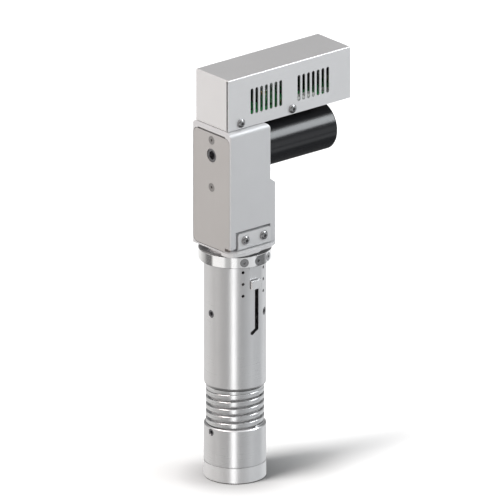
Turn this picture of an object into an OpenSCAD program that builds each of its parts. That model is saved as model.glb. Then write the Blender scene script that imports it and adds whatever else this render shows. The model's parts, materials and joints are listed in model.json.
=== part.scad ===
// Right-angle gear drive unit: a motor on top drives two inline planetary stages through a bevel
// pair, and an output spindle runs down a long clamping tube to a sprung nose.
// Millimetres. The origin is the centre of the nose's bottom face, +Z runs up the tube and
// +X is the way the motor points.

/* [Nose and tube] */
// Outer radius of the tube, the lower sleeve and the nose cap
tube_r = 25; // [24.8:0.1:25.2]
// Height of the nose cap
cap_h = 13.4; // [12:0.2:14]
// Height at which the lower sleeve ends and the nose spring starts
sleeve_top = 45.4; // [44:0.2:45.4]
// Height at which the outer tube starts and the nose spring ends
tube_z = 78.2; // [77.4:0.2:78.2]
// Inner radius of the outer tube
tube_bore_r = 22; // [22:0.1:22.2]
// Outer radius of the nose spring
spring_r = 23.4; // [22.8:0.2:24.4]
// Radial width of the spring's flat wire
wire_w = 3.1; // [2.4:0.1:3.1]
// Height of the spring's flat wire
wire_h = 3.4; // [2.6:0.2:3.4]
// Turns of the nose spring
spring_turns = 5.7; // [5:0.1:6]

/* [Clamp ring] */
// Outer radius of the clamp ring
ring_r = 29.5; // [28.5:0.5:30]
// Bottom of the clamp ring
ring_z = 185.1; // [184.5:0.1:186]
// Top of the clamp ring
ring_top = 194.4; // [194.2:0.1:195.6]

/* [Gear housing] */
// Half the width of the gear housing
housing_half_w = 23.6; // [23.2:0.1:24.5]
// Distance from the tube axis to the plate side of the housing
housing_front = 24.6; // [24.6:0.1:25.4]
// Distance from the tube axis to the motor face
housing_back = 17.2; // [17.2:0.1:18]
// Distance from the tube axis to the wider heel under the motor
heel_back = 22.7; // [22.2:0.1:24]
// Bottom of the housing
housing_z = 197.1; // [197.1:0.1:197.1]
// Top of the housing
housing_top = 301.5; // [301:0.1:301.5]
// Height of the motor axis
motor_z = 276.8; // [276:0.1:277.2]

/* [Motor] */
// Outer radius of the motor
motor_r = 20; // [19.6:0.1:20.4]
// Distance from the tube axis to the far end of the motor
motor_end = 90.8; // [90:0.2:96]

/* [Gears] */
// Gear module of every gear in the unit
gear_m = 0.8; // [0.8:0.1:0.8]
// Pressure angle
pressure_a = 25; // [23:1:26]
// Teeth on a sun gear, and on a planet
sun_n = 15; // [15:15:15]
// Teeth on the ring gear
ring_n = 45; // [45:45:45]
// Teeth on the bevel pinion
pinion_n = 16; // [16:16:16]
// Teeth on the bevel wheel
wheel_n = 32; // [32:32:32]

/* [Electronics cover] */
// Left end of the cover
cover_x0 = -23.8; // [-24.6:0.1:-23.4]
// Right end of the cover
cover_x1 = 103.6; // [102:0.1:106]
// Half the width of the cover
cover_half_w = 20; // [19.6:0.1:20.4]
// Bottom edge of the cover
cover_z = 301.8; // [301.8:0.1:302]
// Top of the cover
cover_top = 345.3; // [343:0.1:347]
// Sheet thickness of the cover
sheet = 1; // [0.8:0.1:1.2]
// Vent slots in a group
vent_n = 7; // [3:1:8]
// Distance from one vent slot to the next
vent_pitch = 5; // [4.8:0.1:5.2]

/* [Hidden] */
$fn = 96;
eps = 0.01;
fit = 0.05;                   // radial gap of a hole around its own screw or bearing
run = 0.04;                   // radial gap of a running fit
play = 0.3;                   // gap between pieces that move past each other

// Gears
planet_orbit = sun_n * gear_m;                 // distance from the axis to a planet's axis
ring_pitch_r = ring_n * gear_m / 2;
addendum = 0.9 * gear_m;
dedendum = 1.15 * gear_m;
spur_backlash = 0.12;
bevel_backlash = 0.2;
flank_steps = 5;
cone_wheel = atan(wheel_n / pinion_n);
cone_pinion = 90 - cone_wheel;
cone_len = gear_m * sqrt(wheel_n * wheel_n + pinion_n * pinion_n) / 2;
bevel_face = 4.4;

// Heights in the gearbox
box_bore_r = 20;              // bore of the housing that holds the ring gear
web_z = 240;                  // underside of the web that holds the input bearings
web_top = 254;
stage1_z = 231;               // bottom of the first stage's planets
stage1_plate_z = 226.5;       // bottom of the first carrier's plate
stage2_z = 218.6;             // bottom of the second stage's planets
planet_h = 7;
planet_bore_r = 2.2;
ring_gear_z = 216.2;
out_plate_z = 212.2;          // bottom of the output carrier's plate
out_brg_z = 198;              // bottom of the lower output bearing
out_brg_r = 16;
out_brg_bore = 10;
out_brg_h = 7;

// Screws
m3_r = 1.5;
m3_tap_r = 1.25;
m4_r = 2;
csk_r = 3.5;                  // radius of a countersunk head
csk_h = 1.9;

// Front side
plate_t = 2.9;
plate_half_w = 22;
plate_z0 = 199;
plate_z1 = 295.5;
plate_corner_r = 4.3;
plate_gap = 0.45;
plate_face = housing_front - 0.1;
plate_screw_z = [289.7, 249.6];
hub_r = 5.4;
hub_x = -24;                  // outer face of the manual-drive hub
hub_shank_r = 5;              // the shank that runs in the front bearing
hub_back_x = -15;
hub_hex_af = 6.7;
hub_hex_depth = 5;
front_brg_x = -20.4;
front_brg_r = 9.5;
front_brg_w = 4.8;
shaft_x = -18.4;              // front end of the motor shaft, inside the hub

// Bracket under the housing's side
leg_x0 = -16.8;
leg_x1 = 16.8;
leg_top = 214.2;
leg_t = 2.2;
leg_inset = 1.6;              // depth of the pocket behind the leg
leg_gap = 2.1;                // width of the open gap at the leg's left edge
groove_depth = 2.8;           // depth of the groove round the leg
bend_relief = 1.2;            // depth of the relief along the leg's bend
foot_undercut = 2.4;
foot_top = housing_z + 3;

// Slider
slot_x = 1.8;
slot_w = 4;
slider_z0 = 164.8;
slider_z1 = 171.9;
slider_x0 = -4.4;
slider_x1 = 5.2;
slot_bottom = 130.4;
hook_end = [-2.8, 127.4];
hook_r = 1.6;
channel_y = 23.8;             // depth of the flat that the slider's block sits in
slider_y = 26.8;

// Tube
tube_top = ring_top;
tube_set_z = 142;
tube_set_angles = [-90, 30, 150];
tap_angles = [-25, 25];
tap_heights = [160, 170, 180];
ring_screw_angles = [-25, 0, 25, 155, 180, 205];
ring_screw_z = (ring_z + ring_top) / 2;
neck_r = 21.9;
hex_af = 11.9;                // across flats of the sliding hex shafts
hex_bore_af = 12.15;
liner_z0 = 118;
liner_z1 = 182;
liner_r = 19.5;
clutch_z0 = 144;
clutch_z1 = 174;
clutch_r = 13;
clutch_groove = [165, 171];
clutch_groove_r = 11.4;
out_hex_end = 152;            // where the output carrier's hex ends inside the clutch sleeve
drive_hex_top = 151;
drive_brg_z = 104.2;
drive_brg_h = 5;

// Nose
guide_r = 19.6;
guide_bore_r = 17;
piston_z0 = 86.4;
piston_z1 = 93;
spindle_r = 12;
spindle_top = 70;
spindle_hex_z = 38;
socket_r = 6;
socket_depth = 22;
sleeve_set_z = 41.2;
sleeve_set_angles = [-90, 90];
drive_end = 50;

// Motor
shaft_r = 2.96;
motor_wall = 1.6;
motor_edge_r = 1.5;
motor_bolt_r = 15.5;
pilot_r = 11;

// Electronics
cover_screw_z = 306.5;
cover_screw_x = [-10.6, 43.1];
vent_x = [1, 50];
vent_w = 3;
vent_z = [311.5, 333.4];
chassis_x = [-21.5, 101];
chassis_half_w = 18.8;
chassis_t = 1.5;
board_z = 309;
board_t = 1.6;
board_x = [-19, 99];
board_half_w = 17;
standoff_points = [for (x = [-15, 40, 95]) for (y = [-13, 13]) [x, y]];
chassis_points = [for (x = [-15, 9]) for (y = [-6, 6]) [x, y]];
inlet_z = 323;

// ---------- helpers ----------

// Involute function of an angle in degrees, in degrees
function involute(a) = tan(a) * 180 / PI - a;

// Half the angle that a tooth takes up at radius r, for n teeth
function tooth_half(r, n, thin) =
    let (pitch_r = n * gear_m / 2, base_r = pitch_r * cos(pressure_a))
    90 / n - thin / (2 * pitch_r) * 180 / PI
    + involute(pressure_a) - involute(acos(min(1, base_r / r)));

// A spur profile: each tooth rises along one flank and falls along the other
function spur_points(n, r_in, r_out, thin) = [
    for (i = [0:n - 1])
        for (side = [-1, 1])
            for (k = [0:flank_steps])
                let (
                    u = (side < 0 ? k : flank_steps - k) / flank_steps,
                    r = r_in + (r_out - r_in) * u,
                    a = i * 360 / n + side * tooth_half(r, n, thin)
                ) [r * cos(a), r * sin(a)]
];

module spur(n, h) {
    pitch_r = n * gear_m / 2;
    linear_extrude(height = h)
        polygon(spur_points(n, pitch_r - dedendum, pitch_r + addendum, spur_backlash));
}

// One ring of points of a bevel gear at the given share of the cone's length
function bevel_ring(n, cone, share) =
    let (pitch_r = n * gear_m / 2, virtual_n = n / cos(cone))
    [for (i = [0:n - 1])
        for (side = [-1, 1])
            for (k = [0:flank_steps])
                let (
                    u = (side < 0 ? k : flank_steps - k) / flank_steps,
                    h = -dedendum + (dedendum + addendum) * u,
                    virtual_r = pitch_r / cos(cone) + h,
                    a = i * 360 / n
                        + side * tooth_half(virtual_r, virtual_n, bevel_backlash) / cos(cone),
                    r = (pitch_r + h * cos(cone)) * share,
                    z = (pitch_r / tan(cone) - h * sin(cone)) * share
                ) [r * cos(a), r * sin(a), z]
    ];

// A bevel gear with its apex at the origin and its large end up +Z
module bevel(n, cone) {
    small = 1 - bevel_face / cone_len;
    count = n * 2 * (flank_steps + 1);
    depth = n * gear_m / 2 / tan(cone);
    points = concat(
        bevel_ring(n, cone, small),
        bevel_ring(n, cone, 1),
        [[0, 0, depth * small + 0.3], [0, 0, depth + 0.3]]
    );
    sides = [for (i = [0:count - 1]) let (j = (i + 1) % count) [i, j + count, j]];
    sides_b = [for (i = [0:count - 1]) let (j = (i + 1) % count) [i, i + count, j + count]];
    small_cap = [for (i = [0:count - 1]) [i, (i + 1) % count, 2 * count]];
    large_cap = [for (i = [0:count - 1]) [(i + 1) % count + count, i + count, 2 * count + 1]];
    polyhedron(points, concat(sides, sides_b, small_cap, large_cap));
}

module pipe(r_out, r_in, z0, z1) {
    translate([0, 0, z0])
        difference() {
            cylinder(r = r_out, h = z1 - z0);
            translate([0, 0, -eps]) cylinder(r = r_in, h = z1 - z0 + 2 * eps);
        }
}

module hex_bar(af, z0, z1) {
    translate([0, 0, z0]) cylinder(r = af / sqrt(3), h = z1 - z0, $fn = 6);
}

module box(x0, x1, y0, y1, z0, z1) {
    translate([x0, y0, z0]) cube([x1 - x0, y1 - y0, z1 - z0]);
}

// What a round edge of radius r takes off a corner at the origin, along +Z
module edge_cut(r, h) {
    difference() {
        translate([-eps, -eps, -eps]) cube([r + eps, r + eps, h + 2 * eps]);
        translate([r, r, -1]) cylinder(r = r, h = h + 2, $fn = 48);
    }
}

// A rectangle with round corners, centred, as a plate of height h
module round_plate(w, d, r, h) {
    translate([-w / 2 + r, -d / 2, 0]) cube([w - 2 * r, d, h]);
    translate([-w / 2, -d / 2 + r, 0]) cube([w, d - 2 * r, h]);
    for (x = [-1, 1]) for (y = [-1, 1])
        translate([x * (w / 2 - r), y * (d / 2 - r), 0]) cylinder(r = r, h = h, $fn = 48);
}

// A ball bearing standing on z = 0: two races and a ring of balls between them
module ball_bearing(bore_r, out_r, h) {
    wall = (out_r - bore_r) * 0.28;
    mid_r = (out_r + bore_r) / 2;
    ball_r = min((out_r - bore_r) / 2 - wall, h / 2) - 0.05;
    balls = floor(2 * PI * mid_r / (ball_r * 2.9));
    pipe(out_r, out_r - wall, 0, h);
    pipe(bore_r + wall, bore_r, 0, h);
    for (i = [0:balls - 1])
        rotate([0, 0, i * 360 / balls]) translate([mid_r, 0, h / 2]) sphere(r = ball_r, $fn = 24);
}

// Countersunk screw: its head's top is at the origin and it points down -Z
module csk_screw(len) {
    difference() {
        union() {
            rotate_extrude() polygon([[0, 0], [csk_r, 0], [csk_r, -0.3], [m3_r, -csk_h], [0, -csk_h]]);
            translate([0, 0, -len]) cylinder(r = m3_r, h = len - 1);
        }
        translate([0, 0, -1.3]) cylinder(r = 1.25, h = 2, $fn = 6);
    }
}

module csk_hole(len) {
    rotate_extrude()
        polygon([[0, 1], [csk_r + 0.1, 1], [csk_r + 0.1, -0.3], [m3_r + fit, -csk_h - 0.1],
            [0, -csk_h - 0.1]]);
    translate([0, 0, -len]) cylinder(r = m3_r + fit, h = len);
}

// Button-head screw: the underside of its head is at the origin and it points down -Z
module button_screw(r, len) {
    head_r = 1.9 * r;
    head_h = 1.1 * r;
    difference() {
        union() {
            rotate_extrude()
                polygon(concat([[0, 0], [head_r, 0], [head_r, 0.5]],
                    [for (a = [15:15:75]) [0.9 + (head_r - 0.9) * cos(a), 0.5 + (head_h - 0.5) * sin(a)]],
                    [[0.9, head_h], [0, head_h]]));
            translate([0, 0, -len]) cylinder(r = r, h = len + 0.2);
        }
        translate([0, 0, 0.6]) cylinder(r = 0.75 * r, h = 2, $fn = 6);
    }
}

// Socket set screw: its top is at the origin and it points down -Z
module set_screw(r, len) {
    difference() {
        translate([0, 0, -len]) cylinder(r1 = r - 0.5, r2 = r, h = 0.5);
        translate([0, 0, -len - 1]) cylinder(r = 0.4, h = 2, $fn = 24);
    }
    difference() {
        translate([0, 0, -len + 0.5 - eps]) cylinder(r = r, h = len - 0.5 + eps);
        translate([0, 0, -1.6]) cylinder(r = r * 0.58, h = 2, $fn = 6);
    }
}

// Places its children on the tube's side, at an angle from -Y towards +X, pointing outwards
module on_tube(angle, r, z) {
    rotate([0, 0, angle]) translate([0, -r, z]) rotate([90, 0, 0]) children();
}

module on_motor_axis(x) {
    translate([x, 0, motor_z]) rotate([0, 90, 0]) children();
}

// ---------- gear housing and its front ----------

module gear_housing() {
    color("silver")
    difference() {
        translate([0, housing_half_w, 0]) rotate([90, 0, 0])
            linear_extrude(height = 2 * housing_half_w)
                polygon([[-housing_front, housing_z], [heel_back, housing_z], [heel_back, 249.8],
                    [housing_back, 253.8], [housing_back, housing_top], [-housing_front, housing_top]]);
        // rounded top edges and upright edges
        for (s = [-1, 1])
            translate([-50, s * housing_half_w, housing_top])
                mirror([0, s > 0 ? 1 : 0, 0]) mirror([0, 0, 1]) rotate([90, 0, 90]) edge_cut(4.8, 100);
        translate([housing_back, 50, housing_top]) mirror([1, 0, 0]) mirror([0, 0, 1])
            rotate([90, 0, 0]) edge_cut(4.8, 100);
        for (s = [-1, 1]) {
            translate([-housing_front, s * housing_half_w, housing_z - 1])
                mirror([0, s > 0 ? 1 : 0, 0]) edge_cut(1, 120);
            translate([heel_back, s * housing_half_w, housing_z - 1])
                mirror([1, 0, 0]) mirror([0, s > 0 ? 1 : 0, 0]) edge_cut(1, 60);
        }
        // bores for the gearbox, the input bearings and the gear space above
        translate([0, 0, housing_z - 1]) cylinder(r = box_bore_r, h = web_z - housing_z + 1);
        translate([0, 0, web_z - 1]) cylinder(r = 11, h = web_top - web_z + 2);
        box(-housing_front - 1, housing_back - 4, -17, 17, web_top, 297);
        // shallow seat of the front plate
        translate([-housing_front + plate_t + 0.1, 0, (plate_z0 + plate_z1) / 2]) rotate([0, -90, 0])
            round_plate(plate_z1 - plate_z0 + 2 * plate_gap, 2 * (plate_half_w + plate_gap),
                plate_corner_r + plate_gap, plate_t + 2);
        translate([-housing_front, 0, plate_screw_z[1]]) rotate([0, 90, 0])
            cylinder(r = m3_tap_r + 0.3, h = 9);
        // motor pilot, motor screws, bracket screws and chassis screws
        on_motor_axis(housing_back - 5) cylinder(r = pilot_r, h = 7);
        for (a = [45:90:315]) on_motor_axis(housing_back - 5)
            rotate([0, 0, a]) translate([motor_bolt_r, 0, 0]) cylinder(r = m3_r + 0.1, h = 7);
        bracket_pocket();
        for (x = [-9.5, 9.5]) translate([x, -housing_half_w - 1, 208]) rotate([-90, 0, 0])
            cylinder(r = m4_r + fit, h = 6);
        for (p = chassis_points)
            translate([p[0], p[1], 298]) cylinder(r = m3_r + fit, h = 5);
    }
}

module front_cover_plate() {
    color("gainsboro")
    difference() {
        translate([-plate_face + plate_t, 0, (plate_z0 + plate_z1) / 2]) rotate([0, -90, 0])
            round_plate(plate_z1 - plate_z0, 2 * plate_half_w, plate_corner_r, plate_t);
        bracket_pocket();
        for (z = plate_screw_z) translate([-plate_face, 0, z]) rotate([0, -90, 0]) csk_hole(8);
        translate([-plate_face - 1, 0, motor_z]) rotate([0, 90, 0])
            cylinder(r = hub_r + 0.25, h = plate_t + 2);
    }
}

module front_plate_screws() {
    color("dimgray")
    for (z = plate_screw_z) translate([-plate_face, 0, z]) rotate([0, -90, 0]) csk_screw(7.5);
}

module front_bearing_plate() {
    color("silver")
    difference() {
        box(-housing_front + plate_t + 0.2, -15.4, -16.9, 16.9, web_top + 0.1, 296.9);
        translate([-30, 0, motor_z]) rotate([0, 90, 0]) cylinder(r = front_brg_r + fit, h = 20);
        translate([-30, 0, plate_screw_z[0]]) rotate([0, 90, 0]) cylinder(r = m3_r + fit, h = 13.2);
    }
}

module front_bearing() {
    color("lightgray")
    on_motor_axis(front_brg_x) ball_bearing(hub_shank_r, front_brg_r, front_brg_w);
}

module manual_drive_hub() {
    color("dimgray")
    difference() {
        union() {
            on_motor_axis(hub_x) cylinder(r = hub_r, h = 3);
            on_motor_axis(hub_x + 2) cylinder(r = hub_shank_r - 0.02, h = hub_back_x - hub_x - 2);
        }
        on_motor_axis(hub_x - 1) cylinder(r = hub_hex_af / sqrt(3), h = hub_hex_depth + 1, $fn = 6);
        on_motor_axis(shaft_x - 0.1) cylinder(r = shaft_r + 0.02, h = 10);
    }
}

// ---------- motor ----------

module motor_shaft() {
    color("lightgray")
    on_motor_axis(shaft_x) cylinder(r = shaft_r, h = 87.45 - shaft_x);
}

module bevel_pinion() {
    color("goldenrod")
    difference() {
        union() {
            translate([0, 0, motor_z]) rotate([0, -90, 0]) rotate([0, 0, 180 + 180 / pinion_n])
                bevel(pinion_n, cone_pinion);
            on_motor_axis(-14.8) cylinder(r = 5, h = 2.6);
        }
        on_motor_axis(-30) cylinder(r = shaft_r, h = 40);
    }
}

module motor_magnet_core() {
    color("dimgray")
    on_motor_axis(31) pipe(11.6, shaft_r, 0, 48);
}

module motor_stator() {
    color("peru")
    on_motor_axis(30)
        difference() {
            cylinder(r = motor_r - motor_wall, h = 50);
            translate([0, 0, -1]) cylinder(r = 12, h = 52);
            for (a = [0:30:330]) rotate([0, 0, a]) translate([10.5, -0.9, -1]) cube([5.7, 1.8, 52]);
        }
}

module motor_can() {
    color([0.1, 0.1, 0.11])
    on_motor_axis(19.4)
        rotate_extrude() polygon(concat(
            [[motor_r - motor_wall, 0], [motor_r, 0]],
            [for (a = [0:15:90]) [motor_r - motor_edge_r * (1 - cos(a)),
                motor_end - 19.4 - motor_edge_r * (1 - sin(a))]],
            [[2, motor_end - 19.4], [2, 68.2], [7.55, 68.2], [7.55, 63.5], [motor_r - motor_wall, 63.5]]));
}

module motor_flange() {
    color([0.12, 0.12, 0.13])
    difference() {
        on_motor_axis(housing_back) union() {
            translate([0, 0, -3.8]) cylinder(r = pilot_r - fit, h = 3.9);
            cylinder(r = motor_r, h = 2.2);
            translate([0, 0, 2]) cylinder(r = motor_r - motor_wall - fit, h = 6);
        }
        on_motor_axis(0) cylinder(r = 4.5, h = 40);
        on_motor_axis(housing_back + 2) cylinder(r = 7.5 + fit, h = 8);
        for (a = [45:90:315]) on_motor_axis(housing_back - 1)
            rotate([0, 0, a]) translate([motor_bolt_r, 0, 0]) cylinder(r = m3_r + fit, h = 7.5);
    }
}

module motor_bearings() {
    color("lightgray") {
        on_motor_axis(housing_back + 2.1) ball_bearing(3, 7.5, 5);
        on_motor_axis(82.95) ball_bearing(3, 7.5, 4.6);
    }
}

module motor_screws() {
    color("dimgray")
    for (a = [45:90:315]) on_motor_axis(housing_back - 4.1)
        rotate([0, 0, a]) translate([motor_bolt_r, 0, 0]) difference() {
            union() {
                translate([0, 0, -3]) cylinder(r = 2.75, h = 3);
                cylinder(r = m3_r, h = 10);
            }
            translate([0, 0, -4]) cylinder(r = 1.4, h = 2.6, $fn = 6);
        }
}

// ---------- gear train ----------

module bevel_wheel() {
    color("goldenrod")
    difference() {
        union() {
            translate([0, 0, motor_z]) rotate([180, 0, 0]) bevel(wheel_n, cone_wheel);
            translate([0, 0, 262]) cylinder(r = 8, h = 8);
        }
        translate([0, 0, 255]) cylinder(r = 4, h = 30);
    }
}

module input_shaft() {
    color("lightgray") {
        translate([0, 0, 239]) cylinder(r = 3.96, h = 33.4);
        translate([0, 0, 254.2]) pipe(5.6, 3.9, 0, 7.7);
        translate([0, 0, stage1_z - 0.1]) spur(sun_n, 8.2);
    }
}

module input_bearings() {
    color("lightgray")
    for (z = [web_z, web_z + 7.05]) translate([0, 0, z]) ball_bearing(4, 11, 6.9);
}

module ring_gear() {
    color("silver")
    translate([0, 0, ring_gear_z]) difference() {
        cylinder(r = box_bore_r - 0.02, h = web_z - ring_gear_z - 0.2);
        translate([0, 0, -1]) linear_extrude(height = 30)
            polygon(spur_points(ring_n, ring_pitch_r - 0.7 * gear_m,
                ring_pitch_r + dedendum, -spur_backlash));
    }
}

module planet(z) {
    translate([planet_orbit, 0, z]) difference() {
        spur(sun_n, planet_h);
        translate([0, 0, -1]) cylinder(r = planet_bore_r, h = planet_h + 2, $fn = 48);
    }
}

module stage1_planet_1() { color("tan") planet(stage1_z); }
module stage1_planet_2() { color("tan") rotate([0, 0, 120]) planet(stage1_z); }
module stage1_planet_3() { color("tan") rotate([0, 0, 240]) planet(stage1_z); }
module stage2_planet_1() { color("tan") planet(stage2_z); }
module stage2_planet_2() { color("tan") rotate([0, 0, 120]) planet(stage2_z); }
module stage2_planet_3() { color("tan") rotate([0, 0, 240]) planet(stage2_z); }

module planet_pins(z0, z1) {
    for (a = [0, 120, 240]) rotate([0, 0, a]) translate([planet_orbit, 0, z0])
        cylinder(r = planet_bore_r - run, h = z1 - z0, $fn = 48);
}

module stage1_carrier() {
    color("slategray") {
        translate([0, 0, stage1_plate_z]) cylinder(r = 15.5, h = 4.2);
        planet_pins(stage1_plate_z + 1, stage1_z + planet_h + 0.3);
        translate([0, 0, stage2_z - 0.1]) spur(sun_n, stage1_plate_z - stage2_z + 1);
    }
}

module output_carrier() {
    color("slategray") {
        translate([0, 0, out_plate_z]) cylinder(r = 15.5, h = 6.1);
        planet_pins(out_plate_z + 1, stage2_z + planet_h + 0.2);
        translate([0, 0, 190]) cylinder(r = out_brg_bore - run, h = out_plate_z - 189);
        translate([0, 0, 176]) cylinder(r = 8, h = 15);
        hex_bar(hex_af, out_hex_end, 177);
    }
}

module gearbox_flange() {
    color("silver")
    difference() {
        union() {
            translate([0, 0, housing_z]) cylinder(r = box_bore_r - 0.02, h = ring_gear_z - housing_z - 0.1);
            translate([0, 0, 183]) cylinder(r = neck_r, h = housing_z - 183);
        }
        translate([0, 0, out_brg_z]) cylinder(r = out_brg_r + fit, h = 30);
        translate([0, 0, 180]) cylinder(r = 13, h = 30);
        for (a = ring_screw_angles) on_tube(a, ring_r, ring_screw_z)
            translate([0, 0, -13.5]) cylinder(r = m3_r + fit, h = 10, $fn = 48);
    }
}

module output_bearings() {
    color("lightgray")
    for (z = [out_brg_z, out_brg_z + out_brg_h + 0.1])
        translate([0, 0, z]) ball_bearing(out_brg_bore, out_brg_r, out_brg_h - 0.05);
}

// ---------- clamp ring and bracket ----------

module bracket_foot_outline() {
    polygon(concat(
        [[-housing_front, -housing_half_w], [-housing_front, -16.5], [-28.2, -16.5], [-28.2, -22]],
        [for (a = [15:15:75]) [-22.2 - 6 * cos(a), -22 - 6.6 * sin(a)]],
        [[-14, -30.2], [0, -30.2], [3.5, -28.2], [14, -27.6], [22.2, -housing_half_w]]));
}

// Pocket in the housing's side round the bracket's leg, and the undercut above its foot
module bracket_pocket() {
    y0 = -housing_half_w - 1;
    box(leg_x0 - leg_gap, leg_x1 + 0.3, y0, -housing_half_w + leg_inset, housing_z - 1, leg_top + 1);
    box(leg_x0 - leg_gap, leg_x1 + 0.3, y0, -housing_half_w + groove_depth, leg_top + 0.1, leg_top + 1.8);
    box(leg_x0 - leg_gap, leg_x0 - 0.2, y0, -housing_half_w + groove_depth, foot_top, leg_top + 1.8);
    box(-housing_front - 1, leg_x0, y0, -housing_half_w + foot_undercut, foot_top, foot_top + 2.2);
    box(-housing_front - 1, -housing_front + foot_undercut, y0, -16.5, foot_top, foot_top + 2.2);
}

module retaining_bracket() {
    color("silver")
    difference() {
        union() {
            translate([0, leg_inset - housing_half_w, 0]) {
                box(leg_x0, leg_x1, -leg_t, 0, housing_z + 0.2, leg_top - 2);
                box(leg_x0 + 2, leg_x1 - 2, -leg_t, 0, housing_z + 0.2, leg_top);
                for (x = [leg_x0 + 2, leg_x1 - 2]) translate([x, 0, leg_top - 2]) rotate([90, 0, 0])
                    cylinder(r = 2, h = leg_t, $fn = 48);
            }
            translate([0, 0, housing_z + 0.1]) linear_extrude(height = foot_top - housing_z - 0.1)
                bracket_foot_outline();
        }
        for (x = [-9.5, 9.5]) translate([x, -housing_half_w - 3, 208]) rotate([-90, 0, 0])
            cylinder(r = m4_r + fit, h = 6);
        translate([0, leg_inset - leg_t - housing_half_w, 0])
            box(leg_x0 - 1, leg_x1 + 1, -1, bend_relief, foot_top, foot_top + 0.9);
    }
}

module bracket_screws() {
    color("gray")
    for (x = [-9.5, 9.5]) translate([x, leg_inset - leg_t - housing_half_w, 208]) rotate([90, 0, 0])
        button_screw(m4_r, 5.2);
}

module clamp_ring() {
    color("gainsboro")
    difference() {
        translate([0, 0, ring_z]) rotate_extrude() polygon([
            [tube_r + fit, 0], [ring_r - 0.4, 0], [ring_r, 0.4], [ring_r, ring_top - ring_z - 0.2],
            [ring_r - 0.2, ring_top - ring_z], [tube_r + fit, ring_top - ring_z]]);
        for (a = ring_screw_angles) on_tube(a, ring_r, ring_screw_z) csk_hole(10);
    }
}

module clamp_ring_screws() {
    color("gray")
    for (a = ring_screw_angles) on_tube(a, ring_r - 0.05, ring_screw_z) csk_screw(12.5);
}

// ---------- tube and what is inside it ----------

module slot_shape() {
    // straight run, then the hook at its lower end
    box(slot_x - slot_w / 2, slot_x + slot_w / 2, -30, -15, slot_bottom, slider_z1 - 0.6);
    translate([slot_x, -15, slot_bottom]) rotate([90, 0, 0])
        cylinder(r = slot_w / 2 - 0.03, h = 16, $fn = 48);
    translate([hook_end[0], -15, hook_end[1]]) rotate([90, 0, 0])
        cylinder(r = hook_r, h = 16, $fn = 48);
    translate([slot_x, -15, slot_bottom]) rotate([90, 0, 0])
        rotate([0, 0, atan2(hook_end[1] - slot_bottom, hook_end[0] - slot_x)])
            translate([0, 0.05 - hook_r, 0]) cube([5.4, 2 * hook_r - 0.1, 15]);
}

module outer_tube() {
    color("silver")
    difference() {
        translate([0, 0, tube_z]) rotate_extrude() polygon([
            [tube_bore_r, 0], [tube_r - 2.6, 0], [tube_r - 1.1, 0.5], [tube_r - 0.3, 1.4], [tube_r, 2.6],
            [tube_r, tube_top - tube_z], [tube_bore_r, tube_top - tube_z]]);
        slot_shape();
        box(slider_x0 - 0.6, slider_x1 + 5, -30, -channel_y, slider_z0 + 0.6, ring_z - 0.6);
        box(slider_x0 - 1.3, slider_x0 - 0.5, -30, -tube_r + 1.8, ring_z - 3.4, ring_z - 0.6);
        for (a = tap_angles) for (z = tap_heights) on_tube(a, tube_r + 1, z)
            cylinder(r = m3_tap_r, h = 12, center = true, $fn = 48);
        for (a = tube_set_angles) on_tube(a, tube_r, tube_set_z)
            cylinder(r = 3.2 + fit, h = 10, center = true, $fn = 48);
        for (a = ring_screw_angles) on_tube(a, tube_r, ring_screw_z)
            cylinder(r = m3_r + 0.15, h = 10, center = true, $fn = 48);
    }
}

module tube_liner() {
    color("darkgray")
    difference() {
        union() {
            pipe(tube_bore_r - fit, liner_r, liner_z0, liner_z1);
            pipe(liner_r + 1, 16, liner_z0, liner_z0 + 2);
        }
        box(-5.5, 5, -30, -10, slot_bottom - 6, slider_z1 + 1.5);
        for (a = tap_angles) for (z = tap_heights) on_tube(a, tube_r + 1, z)
            cylinder(r = m3_tap_r, h = 16, center = true, $fn = 48);
        for (a = tube_set_angles) on_tube(a, tube_r, tube_set_z)
            cylinder(r = 3.2 + fit, h = 8.2, center = true, $fn = 48);
    }
}

module tube_set_screws() {
    color("dimgray")
    for (a = tube_set_angles) on_tube(a, tube_r - 0.4, tube_set_z) set_screw(3.2, 3.6);
}

// The tongue that reaches through the slot into the shift ring
module slider_tongue() {
    box(slot_x - slot_w / 2 + 0.3, slot_x + slot_w / 2 - 0.3, -26, -17.4, slider_z0 + 0.7, slider_z1 - 1.2);
}

module release_slider() {
    color("silver")
    difference() {
        union() {
            box(slider_x0, slider_x1, -slider_y, -20, slider_z0, slider_z1);
            slider_tongue();
        }
        difference() {
            translate([0, 0, slider_z0 - 1]) cylinder(r = tube_r + 0.15, h = 9);
            slider_tongue();
        }
    }
}

module shift_ring() {
    color("gray")
    difference() {
        translate([0, 0, clutch_groove[0] + 0.3])
            pipe(18.4, clutch_groove_r + 0.4, 0, clutch_groove[1] - clutch_groove[0] - 0.6);
        box(slot_x - slot_w / 2, slot_x + slot_w / 2, -30, -17.3, 150, 180);
    }
}

module clutch_sleeve() {
    color("slategray")
    difference() {
        rotate_extrude() polygon([[0, clutch_z0], [clutch_r, clutch_z0], [clutch_r, clutch_groove[0]],
            [clutch_groove_r, clutch_groove[0]], [clutch_groove_r, clutch_groove[1]],
            [clutch_r, clutch_groove[1]], [clutch_r, clutch_z1], [0, clutch_z1]]);
        hex_bar(hex_bore_af, clutch_z0 - 1, clutch_z1 + 1);
    }
}

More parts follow.
